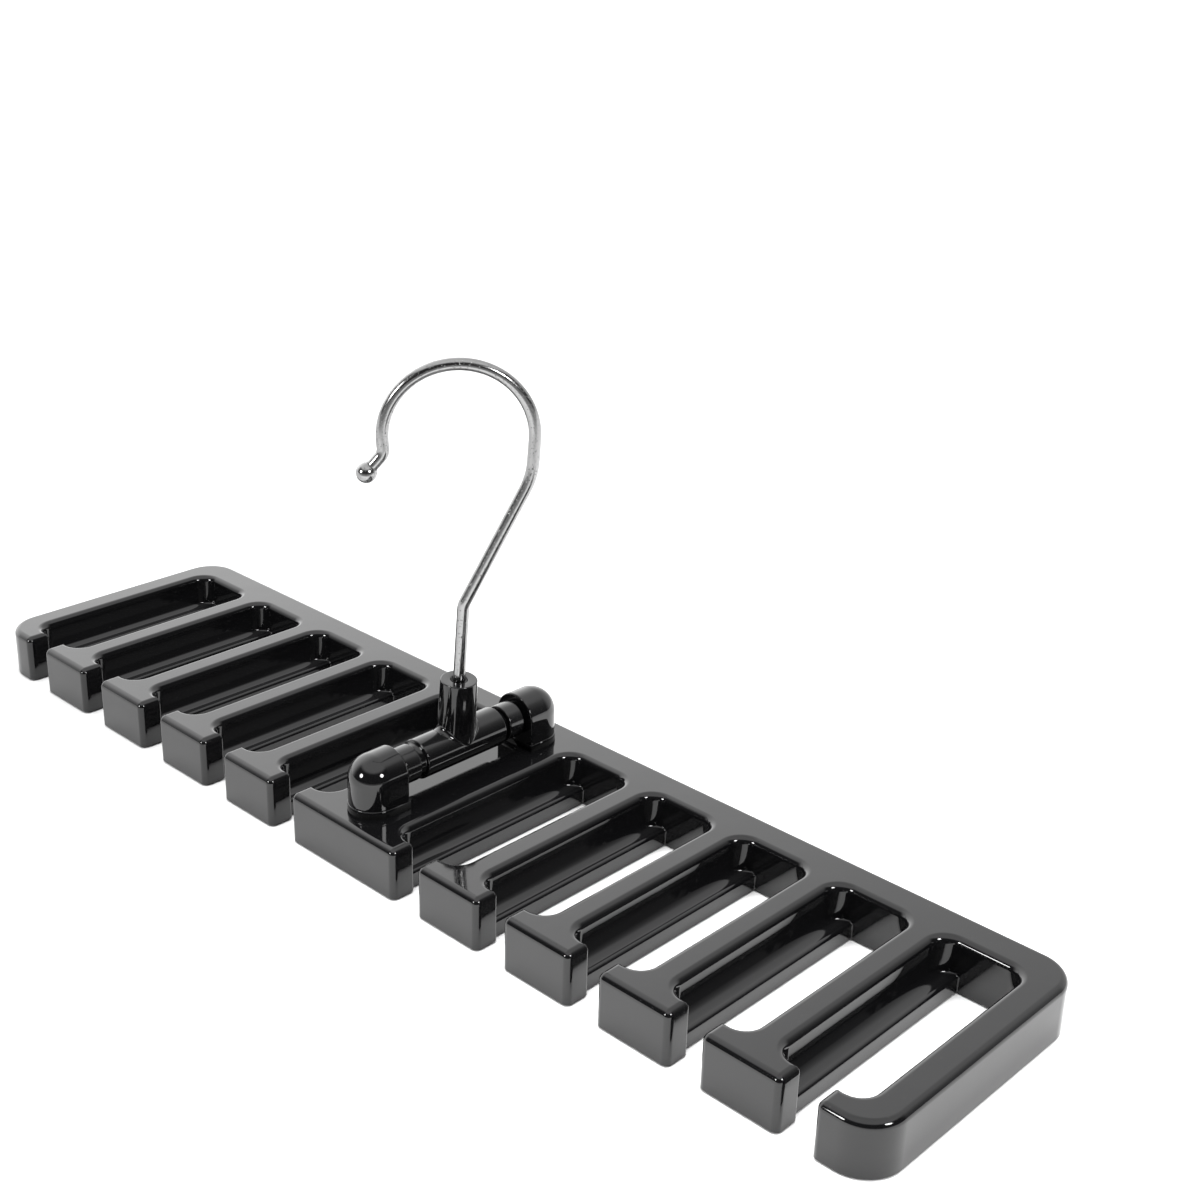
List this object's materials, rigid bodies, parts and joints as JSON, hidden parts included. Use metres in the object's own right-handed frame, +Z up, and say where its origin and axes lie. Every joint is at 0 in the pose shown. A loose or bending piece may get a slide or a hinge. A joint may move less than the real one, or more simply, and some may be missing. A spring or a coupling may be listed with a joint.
{
  "type": "tie hanger",
  "caption": "Comb-shaped tie hanger: a black rack with T-headed fingers, a folding yoke between two domed caps, and a swivelling chrome wire hook.",
  "frame": {"origin": "middle of the rack's underside", "axes": "+X along the rack, +Z up through the hook; the slots open towards -Y"},
  "size_m": [0.3506, 0.0844, 0.1371],
  "materials": {
    "rack_plastic": "high gloss moulding",
    "collar_plastic": "semi-gloss moulding",
    "hook_chrome": "bright plated wire",
    "pin_steel": "drawn wire, uncoated"
  },
  "bodies": {
    "rack": {"rack_frame": "rack_plastic", "pivot_cap_front": "rack_plastic", "pivot_cap_rear": "rack_plastic", "collar_front": "collar_plastic", "collar_rear": "collar_plastic", "hinge_pin": "pin_steel"},
    "yoke": {"yoke": "rack_plastic", "swivel_washer": "pin_steel"},
    "hook": {"hook_wire": "hook_chrome", "hook_ball": "hook_chrome"}
  },
  "joints": [
    {"name": "yoke_fold", "type": "hinge", "parent": "rack", "child": "yoke", "pos_m": [0, -0.0006, 0.0239], "axis": [0, 1, 0], "range_deg": [-84, 76]},
    {"name": "hook_swivel", "type": "hinge", "parent": "yoke", "child": "hook", "pos_m": [0, -0.0006, 0.0239], "axis": [0.0785, 0, 0.9969], "continuous": true}
  ]
}
